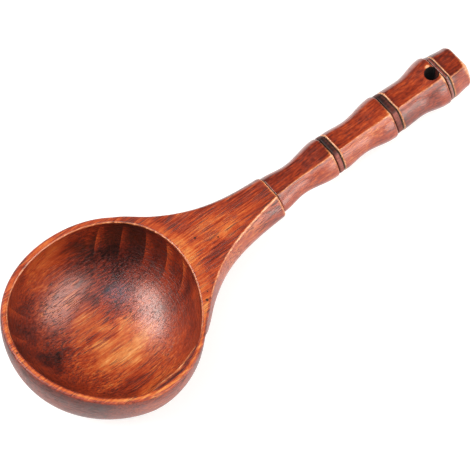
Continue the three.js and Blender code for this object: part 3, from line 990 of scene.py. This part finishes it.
def stained_wood(
    name, stain, halo, worn, wear=0.9, gloss=0.3, coat=0.6, pitted=0.35, streaky=0.45, blotchy=0.4,
    ior=1.5, head=False,
):
    """Fine-grained hardwood, stained red-brown and lacquered by hand: broad streaks of stain along
    the grain, deeper stain where end grain drank it, groups of short dark pores, and edges rubbed
    through a halo of thin stain to pale wood, all under a satin coat that gives broad soft
    highlights. Pale wood has fainter streaks and pores. The head also has gouge strokes with painted
    light and shade across each, dents and pin knots. The stain's stops run from the darkest tone to
    the palest."""
    material = bpy.data.materials.new(name)
    tree = empty_tree(material)
    where = put(tree, "Attribute", out="Vector", attribute_name="ladle_mm")
    edge, end_grain, tone, dull = (
        put(tree, "Attribute", out="Fac", attribute_name=kept)
        for kept in ("edge_mm", "end_grain", "tone", "dull")
    )
    fibre = grain(tree, where, "fibre")
    long_grain = put(tree, "MapRange", (end_grain, *END_GRAIN_SHOWS, 1.0, END_GRAIN_STREAKS))
    drunk = put(tree, "MapRange", (end_grain, *END_GRAIN_SHOWS, 0.0, END_GRAIN_TONE))
    calm = put(tree, "MapRange", (tone, *PALE_SHOWS, 1.0, PALE_STREAKS))

    # Tone of the stain
    streak = put(tree, "Math", (fibre, -0.5), operation="ADD")
    for factor in (long_grain, calm):
        streak = put(tree, "Math", (streak, factor), operation="MULTIPLY")
    level = put(tree, "Math", (streak, streaky, tone), operation="MULTIPLY_ADD")
    for pattern, step in {"broad": BROAD_STEP, "blotches": blotchy}.items():
        noise = grain(tree, where, pattern)
        level = put(tree, "Math", (noise, step, level), operation="MULTIPLY_ADD")
    level = put(tree, "Math", (level, MIDDLE_TONE - 0.5 * blotchy), operation="ADD")
    level = put(tree, "Math", (level, drunk), operation="ADD")

    # Pores along the grain, and cut ends of pores across it
    pore = put(tree, "MapRange", (grain(tree, where, "pores"), *PORE_SHOWS, 0.0, 1.0))
    group = grain(tree, where, "pore_groups")
    group = put(tree, "MapRange", (group, *PORE_GROUP_SHOWS, 0.0, pitted))
    for factor in (group, long_grain, calm):
        pore = put(tree, "Math", (pore, factor), operation="MULTIPLY")
    cut = grain(tree, where, "end_pores")
    cut = put(tree, "MapRange", (cut, *END_PORE_SHOWS, 0.0, END_PORES * pitted))
    across = put(tree, "MapRange", (end_grain, *CUT_ACROSS_SHOWS, 0.0, 1.0))
    cut = put(tree, "Math", (cut, across), operation="MULTIPLY")
    pore = put(tree, "Math", (pore, cut), operation="MAXIMUM")
    carved = put(tree, "Math", (pore, -1.0, fibre), operation="MULTIPLY_ADD")

    # Marks that only the head has, the gouge strokes' painted light and shade and the dents, then
    # pores, knots and worn edges laid over the stain
    if head:
        # The gouge strokes' painted light and shade
        level = put(tree, "Math", (level, gouge_painted_shading(tree, where)), operation="ADD")
        dents = dented(tree, where)
        level = put(tree, "Math", (dents, DENT_TONE, level), operation="MULTIPLY_ADD")
        carved = put(tree, "Math", (dents, DENT_DEPTH, carved), operation="MULTIPLY_ADD")
    darkest, deep = stain[0][1], stain[1][1]
    layers = [(pore, deep)]
    for middle, size in KNOTS.items() if head else ():
        distance = put(tree, "VectorMath", (where, middle), "Value", operation="DISTANCE")
        knot = put(tree, "MapRange", (distance, size, 0.5 * size, 0.0, KNOT_STRENGTH))
        layers.append((knot, darkest))
    chips = grain(tree, where, "chips")
    ragged = put(tree, "Math", (chips, RAGGED_EDGE, edge), operation="MULTIPLY_ADD")
    for shows, rubbed in ((THIN_STAIN_SHOWS, halo), (BARE_EDGE_SHOWS, worn)):
        layers.append((put(tree, "MapRange", (ragged, *shows, 0.0, wear)), rubbed))
    colour = put(tree, "ValToRGB", (level,), stops=stain)
    for share, over in layers:
        colour = put(tree, "Mix", {0: share, 6: colour, 7: linear(over)}, 2, data_type="RGBA")

    # Lacquer
    roughness = put(tree, "MapRange", (fibre, *FIBRE_SPREAD, gloss, gloss + FIBRE_ROUGHNESS))
    for rough, step in ((dull, DULL_ROUGHNESS), (pore, PORE_ROUGHNESS)):
        roughness = put(tree, "Math", (rough, step, roughness), operation="MULTIPLY_ADD")
    inputs = {"Strength": BUMP_STRENGTH, "Distance": BUMP_HEIGHT * MM, "Height": carved}
    bump = put(tree, "Bump", inputs)
    inputs = {"Base Color": colour, "Roughness": roughness, "Normal": bump, "IOR": ior}
    inputs["Coat Weight"] = coat
    inputs["Coat Roughness"] = gloss - COAT_SMOOTHER
    inputs["Coat IOR"] = LACQUER_IOR
    shader = put(tree, "BsdfPrincipled", inputs)
    put(tree, "OutputMaterial", {"Surface": shader})
    return material


# Stops of the stains and of bare wood, from the darkest tone to the palest
RED_STAIN = [
    (0.0, "#140403"),
    (0.14, "#3e0f06"),
    (0.28, "#661c0b"),
    (0.42, "#8b2e12"),
    (0.54, "#a63e18"),
    (0.68, "#bf5c28"),
    (0.84, "#d28344"),
    (1.0, "#e2a466"),
]
BLACK_STAIN = [
    (0.0, "#0a0404"),
    (0.28, "#2a0f0b"),
    (0.5, "#5a2820"),
    (0.75, "#965248"),
    (1.0, "#b87868"),
]
BROWN_STAIN = [(0.0, "#140605"), (0.3, "#4a1a14"), (0.55, "#87443a"), (1.0, "#b98468")]
BARE_WOOD = [(0.0, "#8a6240"), (0.5, "#c99c68"), (1.0, "#e6cda4")]

# The head shows much figure and many pores through a thin coat. The grip is calmer wood under a
# thicker, glossier coat.
head_wood = stained_wood(
    "stained_hardwood_head", RED_STAIN, "#c8713f", "#e8ae80",
    gloss=0.3, coat=0.3, pitted=0.85, streaky=0.95, blotchy=0.35, ior=1.6, head=True,
)
cane_wood = stained_wood(
    "stained_hardwood_grip", RED_STAIN, "#c87034", "#ecb088",
    gloss=0.28, coat=0.6, pitted=0.4, streaky=0.5, blotchy=0.55,
)

# Rings: stain that almost hides the grain, dull where it is black and satin where it is brown
dark_wood = stained_wood(
    "black_stained_hardwood", BLACK_STAIN, "#5a2a20", "#8a5a48",
    wear=0.0, gloss=0.5, coat=0.0, ior=1.4,
)
brown_wood = stained_wood(
    "brown_stained_hardwood", BROWN_STAIN, "#a05a40", "#d09a7c",
    wear=0.0,
)

# The hanging hole's wall is painted black and dull, painted shade down the hole. The hidden dowel
# is bare, pale wood with no shine.
bore_painted_shade_wood = stained_wood(
    "bore_painted_shade", BLACK_STAIN, "#2a0f0b", "#2a0f0b",
    wear=0.0, gloss=0.7, coat=0.0,
)
bare_wood = stained_wood(
    "bare_hardwood", BARE_WOOD, "#d8b488", "#e0c8a0",
    wear=0.3, gloss=0.5, coat=0.0,
)

finish_piece(mesh_piece("carved_head", head_grids()), "ladle_head", head_wood)


def add_cane(node, shape, near_round, far_round, material):
    """One grip piece, drilled where the hanging hole passes."""
    start = STARTS[node]
    grid = cane_grid(start, shape, near_round, far_round)
    piece = mesh_piece("carved_" + node, [(grid, 0, 0, 0, True)])
    if start < HOLE_X + HOLE_RADIUS < start + shape["length"] + HOLE_RADIUS:
        drill(piece)
    points = ladle_points(piece)
    mark(piece, edge_mm=cane_edge(points, start, shape), tone=cane_tone(points, start, shape))
    finish_piece(piece, node, material)
    # The hole's faces wear the black material of painted shade
    piece.data.materials.append(bore_painted_shade_wood)
    corners = points[np.array([list(face.vertices)[:3] for face in piece.data.polygons])]
    bored = in_bore(corners.mean(1), HOLE_HEAD) > 0
    piece.data.polygons.foreach_set("material_index", bored.astype(int))


for node, shape in SECTIONS.items():
    add_cane(node, shape, START_ROUND, END_ROUND, cane_wood)
for node in ("node_ring_1", "node_ring_2"):
    add_cane(node, RINGS[node], RING_ROUND, RING_ROUND, dark_wood)
add_cane("node_ring_3", RINGS["node_ring_3"], START_ROUND, START_ROUND, brown_wood)
add_cane("grip_end", END, START_ROUND, LAST_ROUND, cane_wood)

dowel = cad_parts["core_dowel"]
dowel.data.materials.clear()
dowel.data.materials.append(bare_wood)

# Camera, found from the rim and the grip in the photograph, in the ladle's own frame
CAMERA_AZIMUTH = -0.74526
CAMERA_ELEVATION = 1.08906
CAMERA_ROLL = -0.06514
CAMERA_OFFSET = np.array([-80.10809, 45.08343, 1488.09523])
FOCAL_PIXELS = 2400.0
IMAGE_PIXELS = 470
SENSOR = 36.0
CLIP_END = 20.0

# Lamps: bearing and height in degrees from the ladle, distance and size in metres, watts, colour
LAMPS = {
    "softbox_left": (137, 52, 1.2, (0.9, 0.58), 16.2, "#fff9f0"),
    "softbox_right": (-54, 41, 1.2, (1.1, 0.8), 13.6, "#fff9f0"),
    "low_strip": (-61, 8, 1.2, (0.48, 0.32), 2.9, "#fff9f0"),
    "ceiling_glow": (-150, 74, 1.4, (0.5, 0.5), 3.0, "#e4e8ff"),
}
LAMPS_FACE = np.array([0.06, 0, 0.03])

# Studio: two heights, as sines of the angle above the horizon, and the strength of light at each
ROOM_LIGHT = (0.3, 0.9, 0.06, 0.12)
ROOM_WALLS = (0.08, 0.3, 0.9, 0.0)
FLOOR_REACH = 3.0
FLOOR_GLOW = 0.65


def add_camera():
    """A camera that looks back along its bearing and height, rolled about its view, at its measured
    offset."""
    level = math.cos(CAMERA_ELEVATION)
    east = math.sin(CAMERA_AZIMUTH) * level
    north = -math.cos(CAMERA_AZIMUTH) * level
    ahead = -np.array([east, north, math.sin(CAMERA_ELEVATION)])
    right = unit(np.cross(ahead, [0.0, 0.0, 1.0]))
    down = np.cross(ahead, right)
    cosine, sine = math.cos(CAMERA_ROLL), math.sin(CAMERA_ROLL)
    rows = np.array([cosine * right + sine * down, cosine * down - sine * right, ahead])
    position = place(-rows.T @ CAMERA_OFFSET)
    turn = np.array([rows[0] @ AXES, -rows[1] @ AXES, -rows[2] @ AXES]).T
    data = bpy.data.cameras.new("camera")
    data.sensor_width = SENSOR
    data.lens = FOCAL_PIXELS / IMAGE_PIXELS * SENSOR
    data.clip_end = CLIP_END
    camera = add_object("camera", data)
    camera.matrix_world = Matrix.Translation(position) @ Matrix(turn.tolist()).to_4x4()
    bpy.context.scene.camera = camera


def add_softbox(name, bearing, height, distance, size, power, colour):
    """A rectangular area lamp that faces the ladle from a bearing and height in degrees, as seen
    from there."""
    data = bpy.data.lights.new(name, "AREA")
    data.shape = "RECTANGLE"
    data.size, data.size_y = size
    data.energy = power
    data.color = linear(colour)[:3]
    lamp = add_object(name, data)
    bearing, height = math.radians(bearing), math.radians(height)
    level = math.cos(height)
    along, across = math.cos(bearing) * level, math.sin(bearing) * level
    direction = np.array([along, across, math.sin(height)])
    side = unit(np.cross([0.0, 0.0, 1.0], direction))
    turn = np.array([side, np.cross(direction, side), direction]).T
    position = LAMPS_FACE + distance * direction
    lamp.matrix_world = Matrix.Translation(position) @ Matrix(turn.tolist()).to_4x4()


def looking_rays(tree):
    """1 for rays that see the room, from the camera, by gloss or through glass, and 0 for those that
    carry its light."""
    rays = put(tree, "LightPath").node.outputs
    looking = rays["Is Camera Ray"]
    for other in ("Is Glossy Ray", "Is Transmission Ray"):
        looking = put(tree, "Math", (looking, rays[other]), operation="MAXIMUM")
    return looking


def light_room():
    """A studio with white walls: the camera, gloss and glass see them bright round the horizon.
    Their light on the ladle is faint, a little stronger towards the zenith."""
    world = bpy.data.worlds.new("white_studio")
    bpy.context.scene.world = world
    tree = empty_tree(world)
    direction = put(tree, "TexCoord", out="Generated")
    height = put(tree, "SeparateXYZ", (direction,), "Z")
    faint = put(tree, "MapRange", (height, *ROOM_LIGHT))
    walls = put(tree, "MapRange", (height, *ROOM_WALLS))
    strength = put(tree, "Math", (looking_rays(tree), walls, faint), operation="MULTIPLY_ADD")
    background = put(tree, "Background", {"Color": linear("#ffffff"), "Strength": strength})
    put(tree, "OutputWorld", {"Surface": background})


def add_floor():
    """A white paper floor, which takes the ladle's shadow. Paper is matt, and a glow lifts it to
    white where it is lit, for rays that look at it."""
    mesh = bpy.data.meshes.new("paper_floor")
    corners = FLOOR_REACH * np.array([[-1, -1, 0], [1, -1, 0], [1, 1, 0], [-1, 1, 0]])
    mesh.from_pydata(corners.tolist(), [], [(0, 1, 2, 3)])
    floor = add_object("paper_floor", mesh)
    material = bpy.data.materials.new("white_paper")
    tree = empty_tree(material)
    strength = put(tree, "Math", (looking_rays(tree), FLOOR_GLOW), operation="MULTIPLY")
    paper = put(tree, "BsdfDiffuse", {"Color": linear("#c0c0c0")})
    glow = put(tree, "Emission", {"Color": linear("#ffffff"), "Strength": strength})
    surface = put(tree, "AddShader", (paper, glow))
    put(tree, "OutputMaterial", {"Surface": surface})
    mesh.materials.append(material)


add_camera()
for name, lamp in LAMPS.items():
    add_softbox(name, *lamp)
light_room()
add_floor()
bpy.context.scene.view_settings.view_transform = "Standard"
